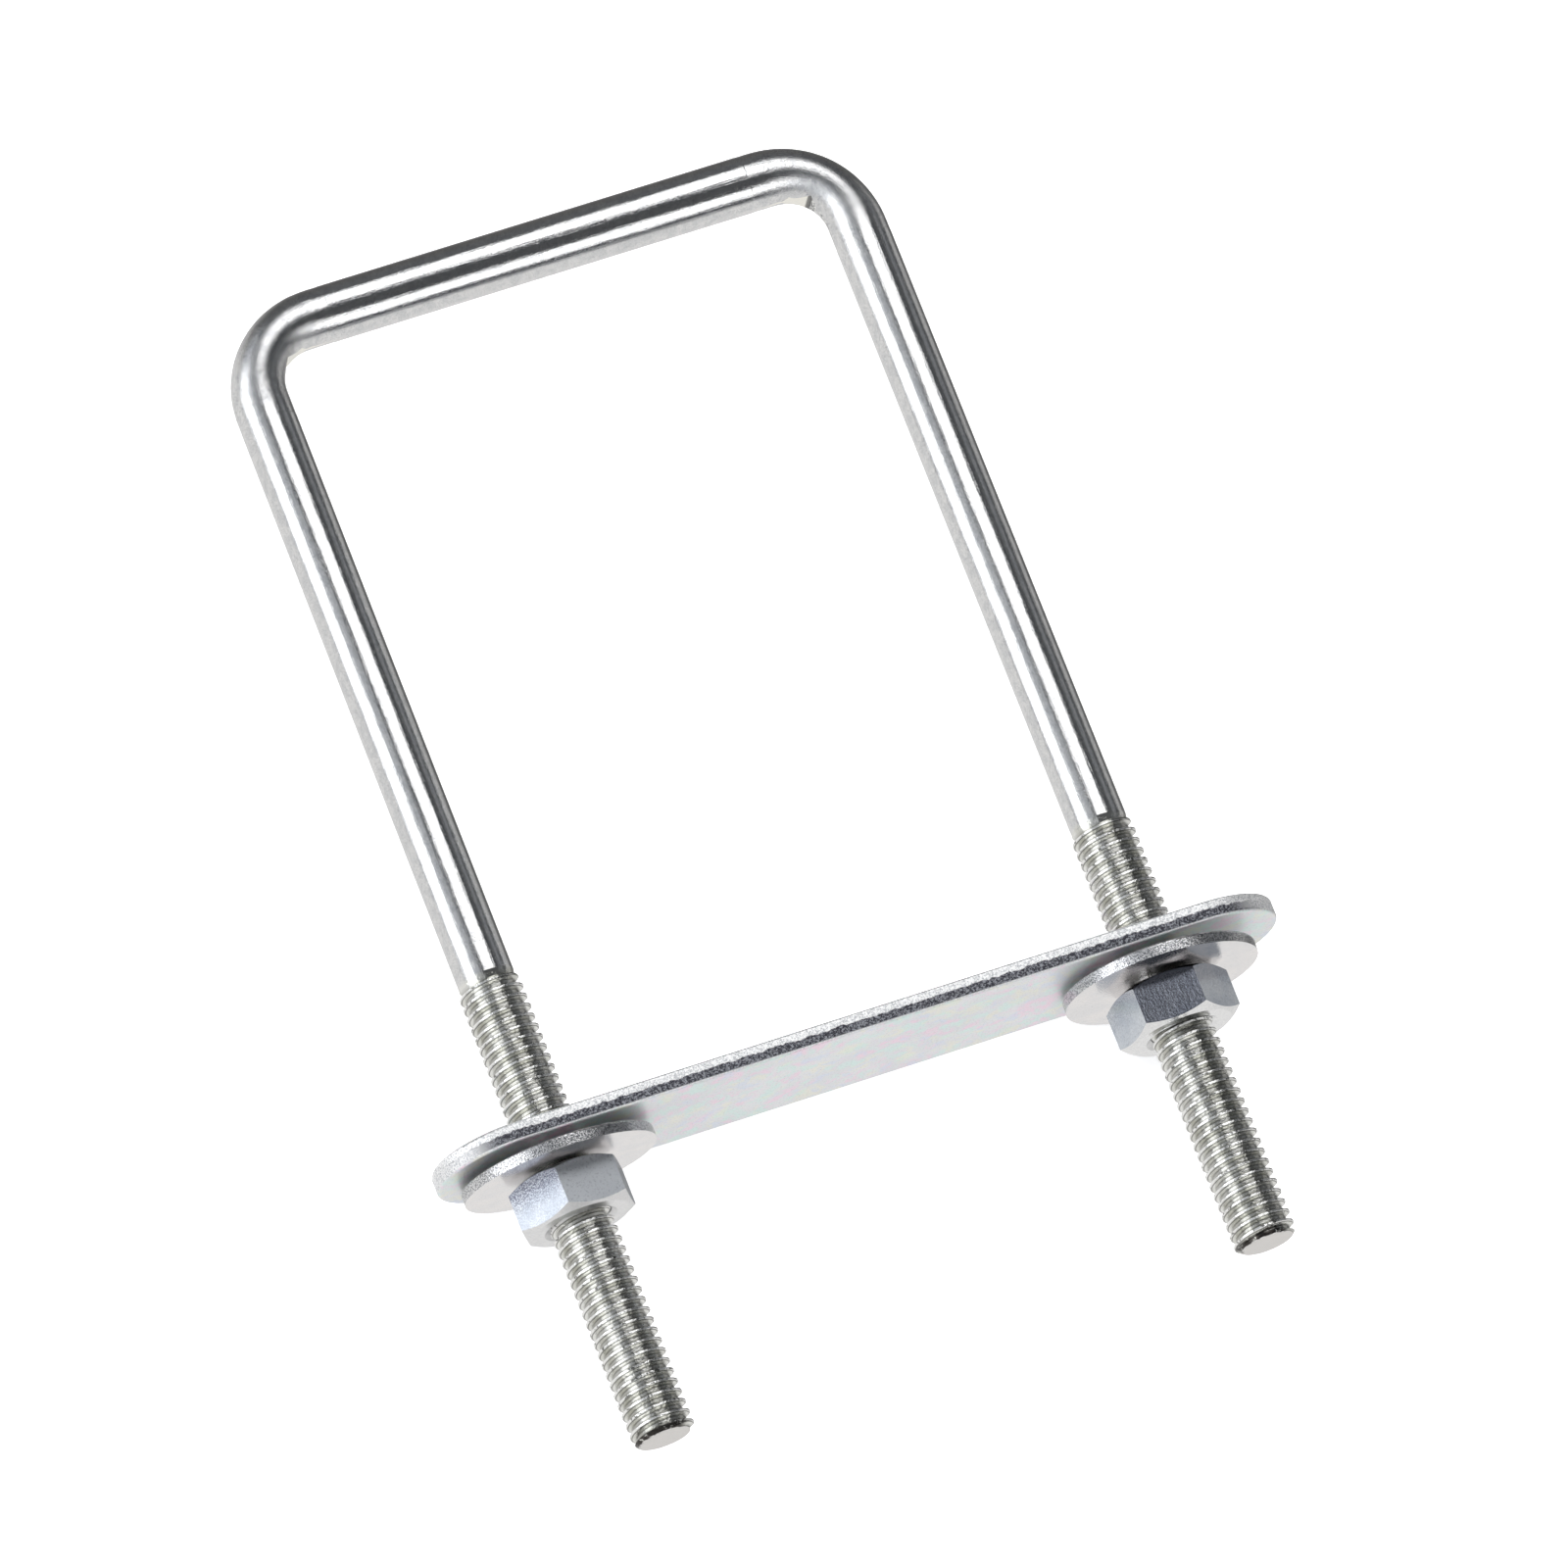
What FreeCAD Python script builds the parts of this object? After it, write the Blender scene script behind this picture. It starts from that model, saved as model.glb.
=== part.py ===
"""Square-bend U-bolt, M6, with a clamp plate, two large flat washers and two hex nuts.

Frame: origin at the centre of the plate's clamping face, midway between the legs.
+X runs along the plate towards the right leg, +Y from the plate towards the crossbar,
and +Z is the normal of the plane that the bolt is bent in. The bolt lies flat, in mm.
"""

import FreeCAD
import Part
import math
import os

from FreeCAD import Vector

# --- bent rod -------------------------------------------------------------------------
SHANK_D = 5.25  # rolled-thread stock: the plain shank is at the thread's pitch diameter
LEG_SPACING = 57.2  # centre to centre, which leaves 52 mm inside for a 2 in square post
CROSSBAR_Y = 79.7  # crossbar axis above the clamping face
LEG_END_Y = -29.7  # cut ends of the legs
THREAD_LENGTH = {"left": 45.5, "right": 42.0}
BEND_OUTER_R = 9.9  # along the outside of a bend
BEND_INNER_R = 3.4  # along its inside, where the section is squashed
BEND_BULGE = 0.23  # how far the squashed section spreads out of the bend's plane
BEND_LEAD = 1.2  # straight rod at each end of a bend's loft
DIE_STANDOFF = 0.74  # from both inner lines to the edge that the bending die presses in
DIE_TILT_CROSSBAR = 22.0  # degrees from the crossbar and from the leg to the die's flats
DIE_TILT_LEG = 17.0
DIE_CLEARANCE = 0.02  # kept between the die's sides and the straight rod
DIE_REACH = 8.0
LEAD_SECTIONS = 3  # sections of a bend's loft, in its straight leads and round the turn
TURN_SECTIONS = 12
OVAL_POINTS = 16
END_CHAMFER = 0.45

# --- M6 x 1 thread --------------------------------------------------------------------
PITCH = 1.0
MAJOR_R = 2.92
MINOR_R = 2.39
CREST = 0.16  # axial width of the flat on top of the thread
ROOT = 0.228  # axial width of the flat between two flanks
RUN_OUT = 1.6  # turns over which the rolled thread fades into the shank
NUT_PLAY = 0.11  # radial play between the nut's thread and the rod's
STEPS_PER_TURN = 16
SPARE_TURNS = 1.5  # of the screw body below the cut end, past its helicoidal step
SEAM = 0.015  # the plain lengths are this much thicker than the bends they run into
SEAM_TAPER = 0.3  # length of the taper at such a joint
RUN_OUT_TAPER = 1.4  # length of the cone from the thread's root out to the shank

# --- plate ----------------------------------------------------------------------------
PLATE_LENGTH = 80.0
PLATE_WIDTH = 14.8
PLATE_THICKNESS = 1.8
PLATE_SHIFT = 0.4  # the plate sits this far off centre, within the play of its holes
PLATE_HOLE_D = 7.0
PLATE_EDGE_R = 0.3

# --- large flat washers ---------------------------------------------------------------
WASHER_OD = 18.0
WASHER_BORE_D = 6.4
WASHER_THICKNESS = 1.1
WASHER_EDGE_R = 0.22
# each loose washer hangs a little askew between the plate and its nut:
# centre in Y, then its lean about Z and about X in degrees
WASHER_POSE = {"left": (-2.95, 0.0, 3.8), "right": (-3.28, 2.7, 1.2)}

# --- hex nuts -------------------------------------------------------------------------
NUT_AF = 9.9
NUT_HEIGHT = 4.6
NUT_TOP_Y = {"left": -4.0, "right": -4.22}
NUT_CHAMFER = 30.0
NUT_FACE_R = 4.65  # radius of the flat ring left by the chamfer
NUT_SINK_R = 3.45
NUT_SINK_DEPTH = 0.9
NUT_SINK_FOOT_R = 2.29  # the countersink runs on to just inside the thread's root
NUT_CLOCKING = {"left": 14.0, "right": 48.0}  # degrees from +X towards -Z to a corner

SIDES = {"left": -1, "right": 1}
SHANK_R = SHANK_D / 2
NUT_CORNER_R = NUT_AF / 2 / math.cos(math.radians(30))
BEND_REACH = BEND_OUTER_R - SHANK_D + BEND_LEAD  # from the rod's inner line
DOWN_THE_LEG = Vector(0, -1, 0)
PAST = 0.1  # how far a cutter reaches past the face that it opens


def smooth_step(x):
    x = max(0.0, min(1.0, x))
    return x * x * (3 - 2 * x)


# --- thread ---------------------------------------------------------------------------
def helix_point(radius_at, turn, lift):
    """Point of a right-hand helix about Z, lifted along it. The radius goes by height."""
    radius = radius_at(turn + lift / PITCH)
    angle = 2 * math.pi * turn
    return Vector(radius * math.cos(angle), radius * math.sin(angle), PITCH * turn + lift)


def helix_turn(radius_at, first_turn, lift):
    """One turn of that helix as a smooth edge that meets the next turn in line."""
    points = [
        helix_point(radius_at, first_turn + i / STEPS_PER_TURN, lift)
        for i in range(STEPS_PER_TURN + 1)
    ]
    small = 1e-5
    slopes = []
    for turn in (first_turn, first_turn + 1):
        ahead = helix_point(radius_at, turn + small, lift)
        behind = helix_point(radius_at, turn - small, lift)
        slopes.append((ahead - behind) / (2 * small))
    curve = Part.BSplineCurve()
    curve.interpolate(
        Points=points,
        InitialTangent=slopes[0],
        FinalTangent=slopes[1],
        Parameters=[i / STEPS_PER_TURN for i in range(STEPS_PER_TURN + 1)],
        Scale=False,
    )
    return curve.toShape()


def screw_body(turns, major_r, minor_r, faded_r=None):
    """Solid screw about Z whose two ends are helicoidal steps, to be trimmed off.

    With a faded_r the crest sinks to that radius over the last turns before the top one.
    """

    def crest(height):
        if faded_r is None:
            return major_r
        return faded_r + (major_r - faded_r) * smooth_step((turns - 1 - height) / RUN_OUT)

    def root(height):
        return minor_r

    flank = (PITCH - CREST - ROOT) / 2
    corners = [
        (crest, 0.0),
        (crest, CREST),
        (root, CREST + flank),
        (root, CREST + flank + ROOT),
        (crest, PITCH),
    ]
    faces = []
    for turn in range(turns):
        rails = [helix_turn(radius_at, turn, lift) for radius_at, lift in corners]
        faces += [Part.makeRuledSurface(a, b) for a, b in zip(rails, rails[1:])]
    for turn, rim in ((0, helix_turn(crest, 0, 0.0)), (turns, helix_turn(crest, turns - 1, PITCH))):
        low, high = Vector(0, 0, PITCH * turn), Vector(0, 0, PITCH * (turn + 1))
        outline = [helix_point(radius_at, turn, lift) for radius_at, lift in corners]
        faces.append(Part.Face(Part.makePolygon([low] + outline + [high, low])))
        faces.append(Part.makeRuledSurface(Part.makeLine(low, high), rim))
    skin = Part.Compound(faces)
    skin.sewShape()
    screw = Part.Solid(skin.Shells[0])
    if screw.Volume < 0:
        screw.reverse()
    return screw


def stand_on_leg(shape, side, y):
    """Turn a shape made about Z so that its Z runs towards the crossbar from (leg, y)."""
    shape.rotate(Vector(0, 0, 0), Vector(1, 0, 0), -90)
    shape.translate(Vector(SIDES[side] * LEG_SPACING / 2, y, 0))
    return shape


# --- rod ------------------------------------------------------------------------------
def plain_rod(start, direction, length, foot_r, foot_taper):
    """Plain length of rod: a cylinder between two tapers that plunge into its neighbours.

    The length includes both tapers. The foot is the end at the start.
    """
    top_r, r = SHANK_R - 2 * SEAM, SHANK_R + SEAM
    straight = length - foot_taper - SEAM_TAPER
    straight_start = start + direction * foot_taper
    foot = Part.makeCone(foot_r, r, foot_taper, start, direction)
    body = Part.makeCylinder(r, straight, straight_start, direction)
    top = Part.makeCone(r, top_r, SEAM_TAPER, straight_start + direction * straight, direction)
    return body.fuse(foot).fuse(top)


def screw_turns(side):
    """How many turns the leg's screw body has, and where it starts above the cut end."""
    length = THREAD_LENGTH[side]
    turns = math.ceil(length / PITCH + SPARE_TURNS) + 1
    return turns, length - (turns - 1) * PITCH


def threaded_leg(side):
    """Threaded end with its chamfer and run-out, and the plain shank up to the bend."""
    length = THREAD_LENGTH[side]
    turns, start = screw_turns(side)
    wide = MAJOR_R + 1
    screw = screw_body(turns, MAJOR_R, MINOR_R, SHANK_R - 4 * SEAM)
    screw.translate(Vector(0, 0, start))
    screw = screw.common(Part.makeCylinder(wide, length + PITCH / 2))
    # 45 degree chamfer round the cut end
    below = Vector(0, 0, -PAST)
    tip_r = MAJOR_R - END_CHAMFER - PAST
    cone = Part.makeCone(tip_r, tip_r + PITCH, PITCH, below)
    screw = screw.cut(Part.makeCylinder(wide, PITCH, below).cut(cone))
    foot = length - RUN_OUT * PITCH
    bend_start = CROSSBAR_Y - SHANK_R - BEND_REACH - LEG_END_Y + SEAM_TAPER
    up = Vector(0, 0, 1)
    shank = plain_rod(up * foot, up, bend_start - foot, MINOR_R - 2 * SEAM, RUN_OUT_TAPER)
    return stand_on_leg(screw.fuse(shank), side, LEG_END_Y)


def bend_section(outer, inner, half_width):
    """Oval section of the bend between a point of its outer and of its inner line."""
    centre, across = (outer + inner) / 2, (outer - inner) / 2
    points = []
    for i in range(OVAL_POINTS):
        angle = 2 * math.pi * i / OVAL_POINTS
        points.append(centre + across * math.cos(angle) + Vector(0, 0, half_width * math.sin(angle)))
    oval = Part.BSplineCurve()
    oval.interpolate(Points=points, PeriodicFlag=True)
    return Part.Wire([oval.toShape()])


def bend(side):
    """Cold bend: a wide outer arc, a tight inner one, and a squashed section between."""
    edge = Vector(LEG_SPACING / 2 + SHANK_R, CROSSBAR_Y + SHANK_R, 0)
    diagonal = Vector(1, 1, 0)
    outer_centre = edge - diagonal * BEND_OUTER_R
    inner_centre = edge - diagonal * (SHANK_D + BEND_INNER_R)
    straight = inner_centre.y - outer_centre.y
    inner_path = 2 * straight + BEND_INNER_R * math.pi / 2

    def outer_point(t):
        angle = t * math.pi / 2
        return outer_centre + Vector(math.cos(angle), math.sin(angle), 0) * BEND_OUTER_R

    def inner_point(t):
        walked = t * inner_path
        if walked <= straight:
            return inner_centre + Vector(BEND_INNER_R, walked - straight, 0)
        if walked >= inner_path - straight:
            return inner_centre + Vector(inner_path - straight - walked, BEND_INNER_R, 0)
        angle = (walked - straight) / BEND_INNER_R
        return inner_centre + Vector(math.cos(angle), math.sin(angle), 0) * BEND_INNER_R

    sections = []
    for i in range(LEAD_SECTIONS):
        back = Vector(0, -BEND_LEAD * (1 - i / LEAD_SECTIONS), 0)
        sections.append(bend_section(outer_point(0) + back, inner_point(0) + back, SHANK_R))
    for i in range(TURN_SECTIONS + 1):
        t = i / TURN_SECTIONS
        spread = BEND_BULGE * math.sin(math.pi * t) ** 2
        sections.append(bend_section(outer_point(t), inner_point(t), SHANK_R + spread))
    for i in range(1, LEAD_SECTIONS + 1):
        on = Vector(-BEND_LEAD * i / LEAD_SECTIONS, 0, 0)
        sections.append(bend_section(outer_point(1) + on, inner_point(1) + on, SHANK_R))
    elbow = Part.makeLoft(sections, True, False)
    elbow = elbow.cut(die_nose(edge - diagonal * SHANK_D))
    if SIDES[side] < 0:
        elbow = elbow.mirror(Vector(0, 0, 0), Vector(1, 0, 0))
    return elbow


def die_nose(corner):
    """Prism whose two flats the bending die pressed into the inside of a bend."""
    ridge = corner - Vector(DIE_STANDOFF, DIE_STANDOFF, 0)
    near, far = DIE_STANDOFF - DIE_CLEARANCE, DIE_REACH
    along_bar = near / math.tan(math.radians(DIE_TILT_CROSSBAR))
    along_leg = near / math.tan(math.radians(DIE_TILT_LEG))
    corners = [
        Vector(0, 0, 0),
        Vector(-along_bar, near, 0),
        Vector(-far, near, 0),
        Vector(-far, -far, 0),
        Vector(near, -far, 0),
        Vector(near, -along_leg, 0),
    ]
    low = Vector(0, 0, -2 * SHANK_R)
    points = [ridge + low + corner for corner in corners]
    outline = Part.Face(Part.makePolygon(points + points[:1]))
    return outline.extrude(Vector(0, 0, 4 * SHANK_R))


def u_bolt():
    reach = LEG_SPACING / 2 - SHANK_R - BEND_REACH + SEAM_TAPER
    start = Vector(-reach, CROSSBAR_Y, 0)
    rod = plain_rod(start, Vector(1, 0, 0), 2 * reach, SHANK_R - 2 * SEAM, SEAM_TAPER)
    for side in SIDES:
        rod = rod.fuse(bend(side))
    for side in SIDES:
        rod = rod.fuse(threaded_leg(side))
    return rod


# --- plate, washers and nuts ----------------------------------------------------------
def round_edges(solid, radius, chosen):
    """Fillet the edges that the test picks."""
    return solid.makeFillet(radius, [edge for edge in solid.Edges if chosen(edge)])


def plate():
    """Strap with fully rounded ends, its outer edges rolled by the blanking die."""
    half, r = PLATE_LENGTH / 2 - PLATE_WIDTH / 2, PLATE_WIDTH / 2
    rims = [
        Part.makeLine(Vector(-half, 0, -r), Vector(half, 0, -r)),
        Part.Arc(Vector(half, 0, -r), Vector(half + r, 0, 0), Vector(half, 0, r)).toShape(),
        Part.makeLine(Vector(half, 0, r), Vector(-half, 0, r)),
        Part.Arc(Vector(-half, 0, r), Vector(-half - r, 0, 0), Vector(-half, 0, -r)).toShape(),
    ]
    strap = Part.Face(Part.Wire(rims)).extrude(DOWN_THE_LEG * PLATE_THICKNESS)
    along = {0.0, -PLATE_THICKNESS}
    strap = round_edges(
        strap,
        PLATE_EDGE_R,
        lambda e: round(e.BoundBox.YMin, 6) in along and e.BoundBox.YLength < 1e-3,
    )
    strap.translate(Vector(PLATE_SHIFT, 0, 0))
    for sign in SIDES.values():
        foot = Vector(sign * LEG_SPACING / 2, PAST, 0)
        hole = Part.makeCylinder(PLATE_HOLE_D / 2, PLATE_THICKNESS + 2 * PAST, foot, DOWN_THE_LEG)
        strap = strap.cut(hole)
    return strap


def washer(side):
    """Punched washer, its outer edge rolled on the plate's side."""
    t = WASHER_THICKNESS
    disc = Part.makeCylinder(WASHER_OD / 2, t, Vector(0, 0, -t / 2))
    disc = round_edges(disc, WASHER_EDGE_R, lambda e: e.BoundBox.ZMin > 0)
    disc = disc.cut(Part.makeCylinder(WASHER_BORE_D / 2, 2 * t, Vector(0, 0, -t)))
    centre_y, about_z, about_x = WASHER_POSE[side]
    disc.rotate(Vector(0, 0, 0), Vector(1, 0, 0), -90)
    disc.rotate(Vector(0, 0, 0), Vector(1, 0, 0), about_x)
    disc.rotate(Vector(0, 0, 0), Vector(0, 0, 1), -about_z)
    disc.translate(Vector(SIDES[side] * LEG_SPACING / 2, centre_y, 0))
    return disc


def nut(side):
    """Hex nut, chamfered and countersunk on both faces, cut with the leg's own thread."""
    corners = []
    for i in range(7):
        angle = math.radians(NUT_CLOCKING[side] + 60 * i)
        corners.append(Vector(NUT_CORNER_R * math.cos(angle), NUT_CORNER_R * math.sin(angle), 0))
    body = Part.Face(Part.makePolygon(corners)).extrude(Vector(0, 0, NUT_HEIGHT))
    # the turned blank: a cylinder just past the corners between two chamfer cones
    rim = NUT_CORNER_R + PAST
    drop = (rim - NUT_FACE_R) * math.tan(math.radians(NUT_CHAMFER))
    blank = Part.makeCone(NUT_FACE_R, rim, drop)
    blank = blank.fuse(Part.makeCylinder(rim, NUT_HEIGHT - 2 * drop, Vector(0, 0, drop)))
    blank = blank.fuse(Part.makeCone(rim, NUT_FACE_R, drop, Vector(0, 0, NUT_HEIGHT - drop)))
    body = body.common(blank.removeSplitter())
    wide = NUT_SINK_R + PAST * (NUT_SINK_R - NUT_SINK_FOOT_R) / NUT_SINK_DEPTH
    for z, way in ((-PAST, 1), (NUT_HEIGHT + PAST, -1)):
        mouth, inwards = Vector(0, 0, z), Vector(0, 0, way)
        body = body.cut(Part.makeCone(wide, NUT_SINK_FOOT_R, NUT_SINK_DEPTH + PAST, mouth, inwards))
    stand_on_leg(body, side, NUT_TOP_Y[side] - NUT_HEIGHT)
    return body.cut(nut_tap(side))


def nut_tap(side):
    """The leg's screw grown by the play, on the same helix, two turns past both faces."""
    spare_turns = 2
    start = screw_turns(side)[1]
    nut_foot = NUT_TOP_Y[side] - NUT_HEIGHT - LEG_END_Y
    skipped = math.floor((nut_foot - start) / PITCH) - spare_turns
    reach = math.ceil(NUT_HEIGHT / PITCH) + 2 * spare_turns
    tap = screw_body(reach, MAJOR_R + NUT_PLAY, MINOR_R + NUT_PLAY)
    tap.translate(Vector(0, 0, start + skipped * PITCH))
    return stand_on_leg(tap, side, LEG_END_Y)


def write(name, shape):
    solids = shape.Solids
    print(name, "solids", len(solids), "valid", shape.isValid(), "volume", round(shape.Volume, 2))
    (solids[0] if len(solids) == 1 else shape).exportStep("parts/" + name + ".step")


os.makedirs("parts", exist_ok=True)
write("u_bolt", u_bolt())
write("plate", plate())
for side in SIDES:
    write("washer_" + side, washer(side))
    write("nut_" + side, nut(side))
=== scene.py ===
import math

import bpy
from mathutils import Matrix, Vector


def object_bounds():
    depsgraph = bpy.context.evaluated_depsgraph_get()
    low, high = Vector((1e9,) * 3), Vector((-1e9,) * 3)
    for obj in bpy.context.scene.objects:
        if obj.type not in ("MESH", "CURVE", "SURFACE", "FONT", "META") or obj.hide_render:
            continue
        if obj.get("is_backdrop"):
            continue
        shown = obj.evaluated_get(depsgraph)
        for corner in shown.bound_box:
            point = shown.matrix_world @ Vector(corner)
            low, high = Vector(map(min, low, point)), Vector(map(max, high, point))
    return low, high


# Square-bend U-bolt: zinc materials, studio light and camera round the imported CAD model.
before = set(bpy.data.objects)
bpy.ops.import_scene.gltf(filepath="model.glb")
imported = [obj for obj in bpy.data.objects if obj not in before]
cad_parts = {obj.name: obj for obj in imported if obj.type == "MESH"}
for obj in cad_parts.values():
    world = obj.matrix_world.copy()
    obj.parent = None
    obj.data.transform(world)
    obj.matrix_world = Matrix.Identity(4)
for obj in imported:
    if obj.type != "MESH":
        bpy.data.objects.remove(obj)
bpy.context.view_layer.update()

MM = 0.001

# places on the part, in mm
LEG_X = 28.6
CROSSBAR_Y = 79.7
ROD_R = 2.625
BEND_R = 9.9  # of the outside of a bend
BEND_X, BEND_Y = LEG_X + ROD_R - BEND_R, CROSSBAR_Y + ROD_R - BEND_R  # a bend's centre
GROOVE_OUT = 3.91  # from that centre, along x and along y, to the groove between the die flats
FLATS_FROM_R, FLATS_TO_R = 3.5, 7.2  # round that centre
LEG_END_Y = -29.7
THREAD_TOP_Y = {"left": 15.8, "right": 12.3}
THREAD_ROOT_R = 2.39
THREAD_CREST_R = 2.92
PLATE_THICKNESS = 1.8
TEAR_Y = (-0.95, -0.72)  # between these the plate's wall turns from burnished to torn
NUT_SHADE_Y = (-7.5, -4.8)  # the speckle on a nut's side flats darkens between these, towards the washer: painted shade

# how the two nuts differ
NUT_ROUGHNESS = {"left": 0.31, "right": 0.09}
# strength of the dark speckle on the side flats, which carries painted shade towards the washer
NUT_SPECKLE_AND_SHADE = {"left": 1.0, "right": 0.45}
# painted reflection on the nuts' flats facing up and down: pale on the left nut, dark on the right
NUT_UPPER_PAINTED_REFLECTION = {"left": (0.93, 0.96, 1.0, 1.0), "right": (0.14, 0.15, 0.21, 1.0)}

# noise on the rod
STREAK = 0.06  # it runs this much slower along the rod than round it, which makes streaks
SIDE_SHIFT = 500.0  # mm that the right half's noise is moved on, so that it isn't the left half's

# camera, in the CAD frame, in metres
CAMERA_AT = Vector((-0.3852, -0.4982, 1.6209))
CAMERA_RIGHT = Vector((0.92955, -0.35220, 0.10914))
CAMERA_UP = Vector((0.29415, 0.88681, 0.35648))
CAMERA_FOV = math.radians(4.575)
CAMERA_SENSOR_MM = 36.0
CAMERA_REACH = 20.0

FLOOR_HALF = 3.0
FLOOR_GAP = 0.0001

# softboxes that the metal mirrors: centre, size, aim and radiance
MIRRORED_BOXES = {
    "overhead": ((0.295, 0.83, 1.0), (0.82, 1.16), (0, 0, -1), 1.7),
    "front": ((0.1, -1.0, 0.87), (1.3, 1.0), (0, 1, 0), 1.5),
    "left": ((-1.0, 0.35, 0.51), (1.2, 0.80), (1, 0, 0), 1.5),
}
# softbox that only lights the matt floor and the plate: centre, size, aim and watts
TABLE_LIGHT = ((0.1, 0.2, 1.4), (1.6, 1.6), (0, 0, -1), 26.0)

# the room that the metal mirrors: direction cosines of its edges, and how bright things are
HORIZON_Z = (-0.12, 0.04)
LEFT_GLOWS = ((-0.34, -0.22, 0.42), (-0.75, -0.50, 0.25))  # full at the first x, none at the second
BACK_GLOW = (0.6, 0.8, 0.04)  # none at the first y, full at the second
STAND_X, STAND_Z = (0.83, 0.93), (0.15, 0.52)
DOOR_X, DOOR_Z = (0.80, 0.88), (-0.48, -0.05)
ROOM_LEVEL, STAND_LEVEL, DOOR_LEVEL = 0.09, 0.16, 0.34
TABLE_TOWARD = (-0.6, -0.5, -0.5)  # the table is brightest that way
TABLE_SPAN = (-0.30, 0.35)
TABLE_LEVELS = (0.12, 0.82)


class Nodes:
    """A node tree that is built by short calls."""

    def __init__(self, tree):
        self.tree = tree
        tree.nodes.clear()

    def add(self, kind, inputs=None, **settings):
        node = self.tree.nodes.new(kind)
        for name, value in settings.items():
            setattr(node, name, value)
        for name, value in (inputs or {}).items():
            self.put(node.inputs[name], value)
        return node

    def put(self, socket, value):
        if isinstance(value, bpy.types.NodeSocket):
            self.tree.links.new(value, socket)
        else:
            socket.default_value = value

    def math(self, operation, *values):
        node = self.add("ShaderNodeMath", operation=operation)
        for socket, value in zip(node.inputs, values):
            self.put(socket, value)
        return node.outputs[0]

    def total(self, first, *rest):
        for value in rest:
            first = self.math("ADD", first, value)
        return first

    def times(self, first, *rest):
        for value in rest:
            first = self.math("MULTIPLY", first, value)
        return first

    def minus(self, first, second):
        return self.math("SUBTRACT", first, second)

    def length(self, a, b):
        """The square root of a squared plus b squared."""
        return self.math("SQRT", self.total(self.times(a, a), self.times(b, b)))

    def mix(self, factor, a, b):
        node = self.add("ShaderNodeMix", data_type="RGBA")
        self.put(node.inputs[0], factor)
        self.put(node.inputs[6], a)
        self.put(node.inputs[7], b)
        return node.outputs[2]

    def noise(self, vector, scale, detail=2.0, roughness=0.5, distortion=0.0):
        inputs = {"Vector": vector, "Scale": scale, "Detail": detail, "Roughness": roughness}
        node = self.add("ShaderNodeTexNoise", {**inputs, "Distortion": distortion})
        return node.outputs["Fac"]

    def spread(self, value, low, high, to_low=0.0, to_high=1.0):
        ends = {"From Min": low, "From Max": high, "To Min": to_low, "To Max": to_high}
        node = self.add("ShaderNodeMapRange", {"Value": value, **ends}, interpolation_type="SMOOTHSTEP")
        return node.outputs["Result"]

    def band(self, value, low, high, soft):
        """1 where the value is between low and high, 0 elsewhere, with soft edges."""
        rise = self.spread(value, low - soft, low + soft)
        fall = self.spread(value, high - soft, high + soft, 1.0, 0.0)
        return self.times(rise, fall)

    def join(self, x, y, z):
        return self.add("ShaderNodeCombineXYZ", {"X": x, "Y": y, "Z": z}).outputs[0]

    def split(self, vector):
        return self.add("ShaderNodeSeparateXYZ", {"Vector": vector}).outputs[:3]

    def scaled(self, vector, factor):
        node = self.add("ShaderNodeVectorMath", operation="SCALE")
        self.put(node.inputs[0], vector)
        self.put(node.inputs["Scale"], factor)
        return node.outputs[0]


def rgb(red, green, blue):
    return (red, green, blue, 1.0)


class Metal(Nodes):
    """A metal material. It knows a point's place on the part in mm, and which way it faces."""

    def __init__(self, name):
        self.material = bpy.data.materials.new(name)
        self.material.use_nodes = True
        super().__init__(self.material.node_tree)
        self.place = self.scaled(self.add("ShaderNodeTexCoord").outputs["Object"], 1 / MM)
        self.x, self.y, self.z = self.split(self.place)
        facing = self.add("ShaderNodeTexCoord").outputs["Normal"]
        self.facing = [self.math("ABSOLUTE", part) for part in self.split(facing)]

    def bumps(self, noise, depth):
        """The noise as a height, that many mm from its low to its high."""
        return self.times(self.minus(noise, 0.5), depth)

    def finish(self, colour, roughness, height, metallic=1.0):
        """The shader, with a bump from that height field in mm."""
        bump = self.add("ShaderNodeBump", {"Height": height, "Distance": MM, "Strength": 1.0})
        parts = {"Base Color": colour, "Metallic": metallic, "Roughness": roughness}
        shader = self.add("ShaderNodeBsdfPrincipled", {**parts, "Normal": bump.outputs[0]})
        out = self.add("ShaderNodeOutputMaterial")
        self.put(out.inputs["Surface"], shader.outputs[0])
        return self.material


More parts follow.
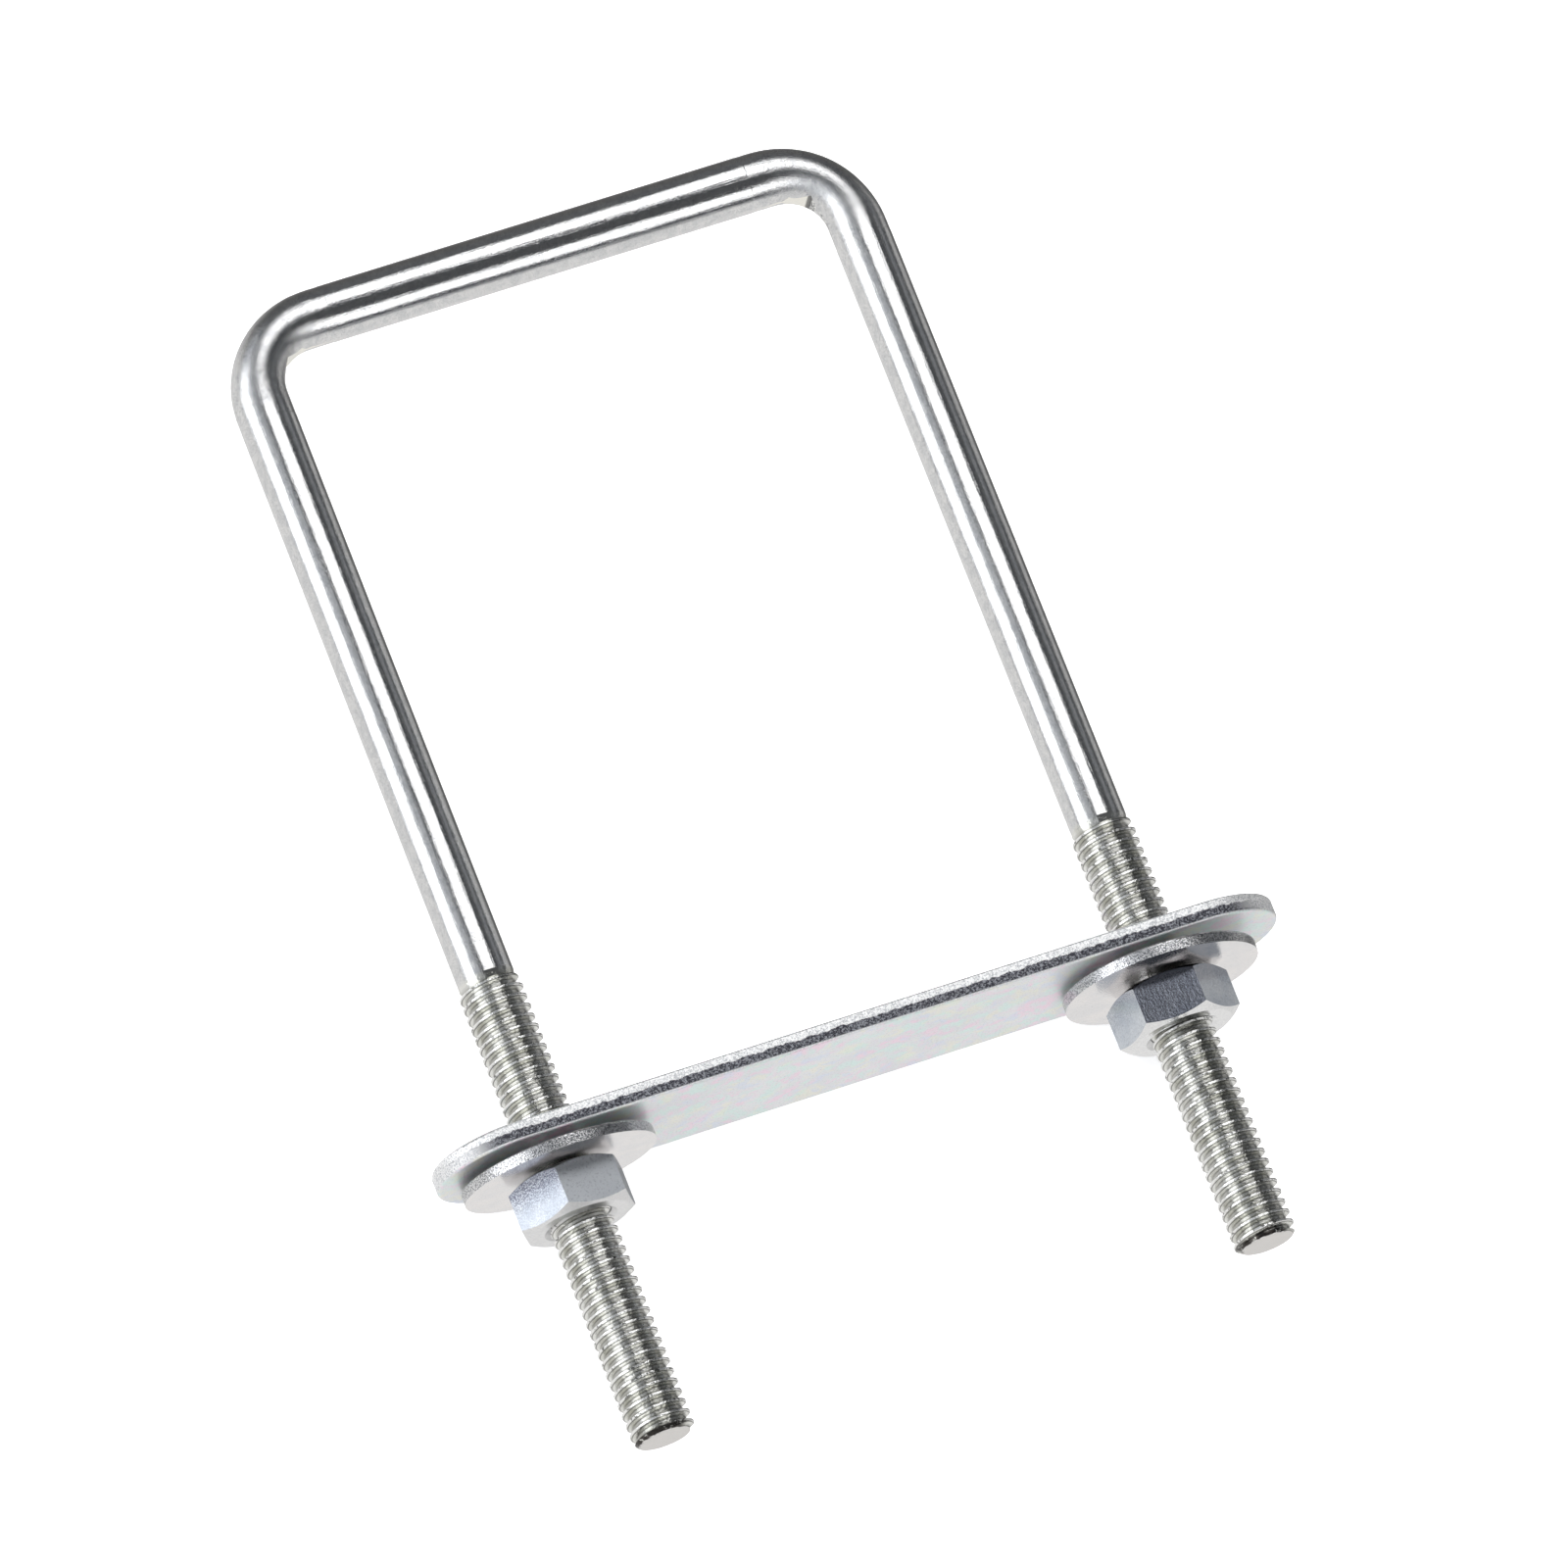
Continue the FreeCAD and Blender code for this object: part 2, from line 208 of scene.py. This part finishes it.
# --- materials ------------------------------------------------------------------------
class RodMetal(Metal):
    """Bright zinc on drawn rod, duller on the rolled threads and matt on the cut ends."""

    def __init__(self):
        super().__init__("rod_zinc")
        self.right = self.math("GREATER_THAN", self.x, 0.0)
        self.across = self.math("ABSOLUTE", self.x)
        self.unroll()
        self.mark_areas()
        self.peel = self.noise(self.unrolled, 7.0, 2.0, 0.7)
        self.pits = self.noise(self.unrolled, 9.0, 2.0, 0.7)
        self.dings = self.noise(self.place, 1.9, 3.0, 0.65)

    def unroll(self):
        """Coordinates that follow the rod up a leg, round the bend and along the crossbar."""
        out_x = self.math("MAXIMUM", self.minus(self.across, BEND_X), 0.0)
        out_y = self.math("MAXIMUM", self.minus(self.y, BEND_Y), 0.0)
        down_leg = self.math("MINIMUM", self.minus(self.y, BEND_Y), 0.0)
        round_bend = self.times(self.math("ARCTAN2", out_y, out_x), BEND_R)
        along_bar = self.math("MAXIMUM", self.minus(BEND_X, self.across), 0.0)
        self.path = self.total(down_leg, round_bend, along_bar)
        self.radial = self.length(out_x, out_y)
        self.from_groove = self.length(self.minus(out_x, GROOVE_OUT), self.minus(out_y, GROOVE_OUT))
        walked = self.total(self.path, self.times(self.right, SIDE_SHIFT))
        self.unrolled = self.join(walked, self.radial, self.z)
        self.drawn = self.join(self.times(walked, STREAK), self.radial, self.z)

    def mark_areas(self):
        """Masks that are 1 on the threads, the bends, the flats inside them and the cut ends."""
        self.from_axis = self.length(self.minus(self.across, LEG_X), self.z)
        self.ridge = self.spread(self.from_axis, THREAD_ROOT_R, THREAD_CREST_R)
        thread_top = self.spread(self.right, 0, 1, THREAD_TOP_Y["left"], THREAD_TOP_Y["right"])
        self.thread = self.spread(self.minus(self.y, thread_top), -0.6, 0.1, 1.0, 0.0)
        self.bend = self.band(self.path, 0.0, BEND_R * math.pi / 2, 3.0)
        upright = self.spread(self.facing[2], 0.04, 0.10, 1.0, 0.0)
        self.flats = self.times(upright, self.band(self.radial, FLATS_FROM_R, FLATS_TO_R, 0.1), self.bend)
        at_end = self.math("LESS_THAN", self.y, LEG_END_Y + 0.05)
        self.cut = self.times(self.spread(self.facing[1], 0.85, 0.95), at_end)

    def height(self):
        drawn = self.total(
            self.bumps(self.peel, 0.010),
            self.times(self.bumps(self.pits, 0.02), self.bend),
            self.bumps(self.noise(self.drawn, 3.2, 3.0, 0.6), 0.012),
            self.bumps(self.noise(self.drawn, 9.0, 2.0, 0.6), 0.006),
            self.bumps(self.noise(self.unrolled, 0.9, 2.0, 0.5), 0.012),
        )
        grain = self.noise(self.place, 8.0, 2.0, 0.6)
        rolled = self.total(self.bumps(self.dings, 0.06), self.bumps(grain, 0.012))
        sawn = self.bumps(self.noise(self.place, 2.6, 4.0, 0.75), 0.10)
        return self.total(
            self.times(drawn, self.minus(1.0, self.thread)),
            self.times(rolled, self.thread),
            self.times(sawn, self.cut),
        )

    def drawn_colour(self):
        patches = self.spread(self.noise(self.unrolled, 1.1, 2.0, 0.5), 0.35, 0.65)
        colour = self.mix(patches, rgb(0.80, 0.80, 0.80), rgb(0.72, 0.725, 0.735))
        more_in_bends = self.spread(self.bend, 0.2, 0.8, 0.30, 0.55)
        specks = self.times(self.spread(self.pits, 0.48, 0.66), more_in_bends)
        return self.mix(specks, colour, rgb(0.22, 0.22, 0.24))

    def thread_colour(self):
        """Painted shade in the roots and in a line under each of the crests, and a painted highlight on
        the crests, broken by scars.
        """
        oily = self.spread(self.noise(self.place, 0.35, 3.0, 0.6), 0.4, 0.6)
        flank_with_shade = self.mix(oily, rgb(0.86, 0.86, 0.83), rgb(0.71, 0.71, 0.66))
        # painted shade in the thread roots
        flank_with_shade = self.mix(self.spread(self.ridge, 0.0, 0.25, 0.45, 0.0), flank_with_shade, rgb(0.16, 0.16, 0.15))
        # painted shade in a thin line just under the crests
        shade_under_crest = self.times(self.band(self.ridge, 0.74, 0.90, 0.06), 0.8)
        flank_with_shade = self.mix(shade_under_crest, flank_with_shade, rgb(0.05, 0.05, 0.05))
        # painted highlight on the crests, broken by dark scars
        scars = self.spread(self.dings, 0.56, 0.62)
        crest_highlight_and_scars = self.mix(scars, rgb(0.95, 0.95, 0.94), rgb(0.22, 0.22, 0.21))
        return self.mix(self.spread(self.ridge, 0.92, 0.99), flank_with_shade, crest_highlight_and_scars)

    def die_marks(self, colour):
        """The two flats that the bending die left inside each bend, and the groove between them. The flat
        on the bar is painted pale as a highlight, and the groove is painted dark as shade.
        """
        bar_flat_highlight = self.times(self.flats, self.spread(self.facing[1], 0.80, 0.88))
        leg_flat = self.times(self.flats, self.spread(self.facing[0], 0.88, 0.94))
        groove = self.times(self.flats, self.spread(self.from_groove, 0.15, 0.35, 0.85, 0.0))
        knurl = self.spread(self.noise(self.place, 5.0, 2.0, 0.7), 0.45, 0.55)
        # painted highlight on the flat towards the bar
        colour = self.mix(bar_flat_highlight, colour, rgb(0.95, 0.93, 0.86))
        colour = self.mix(leg_flat, colour, self.mix(knurl, rgb(0.90, 0.90, 0.88), rgb(0.10, 0.10, 0.11)))
        # painted shade in the groove between the flats
        return self.mix(groove, colour, rgb(0.05, 0.05, 0.05))

    def saw_marks(self, colour):
        """The sawn faces, with a dark torn edge along the upper left of each."""
        colour = self.mix(self.cut, colour, rgb(0.86, 0.84, 0.82))
        aside = self.minus(self.x, self.spread(self.right, 0, 1, -LEG_X, LEG_X))
        upper = self.spread(self.minus(self.z, self.times(aside, 0.7)), 0.2, 1.6)
        near_end = self.spread(self.y, LEG_END_Y + 0.35, LEG_END_Y + 0.55, 1.0, 0.0)
        side_tear = self.times(near_end, self.minus(1.0, self.cut), self.spread(self.dings, 0.34, 0.44))
        outer_ring = self.spread(self.from_axis, 2.1, 2.4)
        face_tear = self.times(self.cut, outer_ring, self.spread(self.dings, 0.45, 0.55))
        torn = self.times(self.total(side_tear, face_tear), upper)
        return self.mix(torn, colour, rgb(0.06, 0.055, 0.05))

    def build(self):
        colour = self.mix(self.thread, self.drawn_colour(), self.thread_colour())
        colour = self.saw_marks(self.die_marks(colour))
        gloss = self.spread(self.peel, 0.3, 0.7, 0.08, 0.14)
        rough = self.total(gloss, self.times(self.thread, 0.06), self.times(self.cut, 0.32))
        return self.finish(colour, rough, self.height())


def plate_metal():
    """Satin zinc on strip with faint passivate colours, and the blanked wall round it."""
    m = Metal("plate_zinc")
    wall = m.spread(m.facing[1], 0.55, 0.8, 1.0, 0.0)
    ragged = m.noise(m.join(m.x, 0.0, m.z), 1.3, 4.0, 0.7)
    tear = m.spread(m.minus(m.y, m.spread(ragged, 0.3, 0.7, *TEAR_Y)), -0.05, 0.03, 1.0, 0.0)
    rim = m.spread(m.y, 0.10 - PLATE_THICKNESS, 0.24 - PLATE_THICKNESS, 1.0, 0.0)
    sideways = m.spread(m.facing[0], 0.25, 0.75, 1.0, 0.12)
    torn = m.times(wall, tear, m.minus(1.0, rim))

    grain = m.noise(m.place, 5.0, 3.0, 0.65)
    striae = m.noise(m.join(m.times(m.x, 5.0), m.times(m.y, 0.3), m.times(m.z, 5.0)), 1.0, 3.0, 0.6)
    speckle = m.noise(m.place, 6.0, 3.0, 0.75)
    clouds = m.noise(m.place, 0.16, 3.0, 0.55)
    tint_a = m.noise(m.place, 0.36, 4.0, 0.65, 0.3)
    tint_b = m.noise(m.scaled(m.place, -1.0), 0.42, 4.0, 0.65, 0.3)

    face = m.mix(m.spread(clouds, 0.35, 0.65), rgb(0.77, 0.775, 0.795), rgb(0.71, 0.725, 0.75))
    face = m.mix(m.spread(tint_a, 0.50, 0.62, 0.0, 0.8), face, rgb(0.86, 0.66, 0.77))
    face = m.mix(m.spread(tint_b, 0.50, 0.62, 0.0, 0.7), face, rgb(0.64, 0.82, 0.78))
    face = m.mix(m.spread(tint_a, 0.36, 0.48, 0.5, 0.0), face, rgb(0.83, 0.81, 0.66))
    face = m.mix(m.spread(tint_b, 0.36, 0.46, 0.6, 0.0), face, rgb(0.66, 0.72, 0.84))
    face = m.mix(m.spread(grain, 0.52, 0.66, 0.0, 0.45), face, rgb(0.45, 0.46, 0.47))
    bright = m.mix(m.spread(speckle, 0.46, 0.58), rgb(0.92, 0.92, 0.92), rgb(0.50, 0.51, 0.53))
    dark = m.mix(m.spread(speckle, 0.46, 0.60), rgb(0.035, 0.035, 0.045), rgb(0.30, 0.31, 0.34))
    colour = m.mix(wall, face, bright)
    colour = m.mix(m.times(torn, sideways), colour, dark)
    rough = m.total(0.31, m.times(torn, 0.2))
    height = m.total(
        m.bumps(grain, 0.02),
        m.times(m.bumps(striae, 0.06), wall),
        m.times(m.bumps(speckle, 0.03), wall),
        m.times(torn, -0.05),
    )
    return m.finish(colour, rough, height, 0.7)


def washer_metal(side):
    """Satin zinc on a punched disc, its rim half burnished and half torn."""
    m = Metal("washer_zinc_" + side)
    rim = m.spread(m.facing[1], 0.5, 0.75, 1.0, 0.0)
    grain = m.noise(m.place, 5.0, 3.0, 0.7)
    clouds = m.noise(m.place, 0.3, 3.0, 0.55)
    pits = m.noise(m.place, 8.0, 2.0, 0.7)
    face = m.mix(m.spread(clouds, 0.35, 0.65), rgb(0.88, 0.855, 0.85), rgb(0.82, 0.81, 0.82))
    face = m.mix(m.spread(grain, 0.55, 0.68, 0.0, 0.3), face, rgb(0.5, 0.49, 0.49))
    edge = m.mix(m.spread(pits, 0.46, 0.58), rgb(0.86, 0.86, 0.87), rgb(0.22, 0.23, 0.25))
    colour = m.mix(rim, face, edge)
    height = m.total(m.bumps(grain, 0.016), m.times(m.bumps(pits, 0.02), rim))
    return m.finish(colour, m.total(0.13, m.times(rim, 0.12)), height)


def nut_metal(side):
    """Satin zinc with a faint blue passivate, brushed on the flats. The left nut is duller. Painted shade
    darkens the speckle on the side flats towards the washer, and a painted reflection colours the flats
    facing up and down.
    """
    m = Metal("nut_zinc_" + side)
    flats = m.spread(m.facing[1], 0.2, 0.4, 1.0, 0.0)
    speckle = m.noise(m.place, 4.0, 3.0, 0.75)
    brushed = m.noise(m.join(m.times(m.x, 3.0), m.times(m.y, 0.5), m.times(m.z, 3.0)), 1.2, 3.0, 0.6)
    clouds = m.noise(m.place, 0.35, 3.0, 0.55)
    tone = m.mix(m.spread(clouds, 0.35, 0.65), rgb(0.72, 0.76, 0.81), rgb(0.58, 0.63, 0.70))
    # painted shade: dark speckle on the side flats, growing towards the washer
    shade_on_sides = m.times(m.spread(m.facing[0], 0.35, 0.60), m.spread(m.y, *NUT_SHADE_Y, 0.3, 1.0))
    fine = m.spread(m.noise(m.place, 9.0, 2.0, 0.7), 0.36, 0.60)
    tone = m.mix(m.times(shade_on_sides, NUT_SPECKLE_AND_SHADE[side], fine), tone, rgb(0.10, 0.10, 0.15))
    # painted reflection on the flats facing up and down
    tone = m.mix(m.times(m.spread(m.facing[2], 0.88, 0.95), 0.7), tone, NUT_UPPER_PAINTED_REFLECTION[side])
    tone = m.mix(m.spread(speckle, 0.52, 0.66, 0.0, 0.4), tone, rgb(0.32, 0.34, 0.39))
    pale = m.mix(m.spread(speckle, 0.3, 0.7), rgb(0.90, 0.90, 0.90), rgb(0.80, 0.80, 0.81))
    colour = m.mix(flats, pale, tone)
    height = m.total(m.bumps(speckle, 0.007), m.times(m.bumps(brushed, 0.004), flats))
    rough = m.total(NUT_ROUGHNESS[side], m.spread(speckle, 0.3, 0.7, 0.0, 0.05))
    return m.finish(colour, rough, height)


def paint(node, material):
    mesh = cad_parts[node].data
    mesh.materials.clear()
    mesh.materials.append(material)


# --- studio ---------------------------------------------------------------------------
def floor():
    """Pale floor under the part. It isn't mirrored in the metal: the studio light is."""
    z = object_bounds()[0][2] - FLOOR_GAP
    mesh = bpy.data.meshes.new("floor")
    corners = [(x * FLOOR_HALF, y * FLOOR_HALF, z) for x, y in ((-1, -1), (1, -1), (1, 1), (-1, 1))]
    mesh.from_pydata(corners, [], [(0, 1, 2, 3)])
    plane = bpy.data.objects.new("floor", mesh)
    bpy.context.scene.collection.objects.link(plane)
    plane.visible_glossy = False
    material = bpy.data.materials.new("floor")
    material.use_nodes = True
    shader = material.node_tree.nodes["Principled BSDF"]
    shader.inputs["Base Color"].default_value = rgb(0.92, 0.92, 0.92)
    shader.inputs["Roughness"].default_value = 1.0
    shader.inputs["Specular IOR Level"].default_value = 0.0
    shader.inputs["Emission Color"].default_value = rgb(1.0, 1.0, 1.0)
    shader.inputs["Emission Strength"].default_value = 0.55
    mesh.materials.append(material)
    plane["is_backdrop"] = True


def softbox(name, centre, size, aim, power, mirrored):
    light = bpy.data.lights.new(name, "AREA")
    light.shape = "RECTANGLE"
    light.size, light.size_y = size
    light.energy = power
    lamp = bpy.data.objects.new(name, light)
    lamp.location = centre
    lamp.rotation_euler = Vector(aim).to_track_quat("-Z", "Y").to_euler()
    lamp.visible_glossy = mirrored
    bpy.context.scene.collection.objects.link(lamp)


def softboxes():
    for name, (centre, size, aim, radiance) in MIRRORED_BOXES.items():
        softbox(name, centre, size, aim, radiance * math.pi * size[0] * size[1], mirrored=True)
    softbox("table_light", *TABLE_LIGHT, mirrored=False)


def room():
    """What the metal mirrors besides the softboxes: a dim room over a pale table."""
    world = bpy.data.worlds.new("studio")
    bpy.context.scene.world = world
    world.use_nodes = True
    w = Nodes(world.node_tree)
    x, y, z = w.split(w.add("ShaderNodeTexCoord").outputs["Generated"])
    above = w.spread(z, *HORIZON_Z)
    glows = w.total(*(w.spread(x, full, none, level, 0.0) for full, none, level in LEFT_GLOWS))
    none_y, full_y, back_level = BACK_GLOW
    back = w.times(w.spread(y, none_y, full_y), back_level)
    stand = w.times(w.band(x, *STAND_X, 0.02), w.band(z, *STAND_Z, 0.08), STAND_LEVEL)
    walls = w.times(w.total(ROOM_LEVEL, w.times(glows, above), stand, back), above)
    toward = w.total(*(w.times(part, weight) for part, weight in zip((x, y, z), TABLE_TOWARD)))
    table = w.times(w.spread(toward, *TABLE_SPAN, *TABLE_LEVELS), w.minus(1.0, above))
    door = w.times(w.spread(x, *DOOR_X), w.band(z, *DOOR_Z, 0.06), DOOR_LEVEL)
    tint = w.mix(above, rgb(1.0, 0.995, 0.985), rgb(0.93, 0.96, 1.0))
    mirrored = w.add("ShaderNodeBackground", {"Color": tint, "Strength": w.total(walls, table, door)})
    # past the floor's edge the picture is plain white
    backdrop = w.add("ShaderNodeBackground", {"Color": rgb(1.0, 1.0, 1.0), "Strength": 1.0})
    seen = w.add("ShaderNodeLightPath").outputs["Is Camera Ray"]
    mixed = w.add("ShaderNodeMixShader", {"Fac": seen})
    w.put(mixed.inputs[1], mirrored.outputs[0])
    w.put(mixed.inputs[2], backdrop.outputs[0])
    out = w.add("ShaderNodeOutputWorld")
    w.put(out.inputs["Surface"], mixed.outputs[0])


def camera():
    data = bpy.data.cameras.new("camera")
    data.sensor_width = CAMERA_SENSOR_MM
    data.angle = CAMERA_FOV
    data.clip_end = CAMERA_REACH
    item = bpy.data.objects.new("camera", data)
    back = CAMERA_RIGHT.cross(CAMERA_UP)
    turn = Matrix((CAMERA_RIGHT, CAMERA_UP, back)).transposed().to_4x4()
    item.matrix_world = Matrix.Translation(CAMERA_AT) @ turn
    bpy.context.scene.collection.objects.link(item)
    bpy.context.scene.camera = item


paint("u_bolt", RodMetal().build())
paint("plate", plate_metal())
for side in ("left", "right"):
    paint("washer_" + side, washer_metal(side))
    paint("nut_" + side, nut_metal(side))

bpy.context.scene.view_settings.view_transform = "Standard"
floor()
room()
softboxes()
camera()
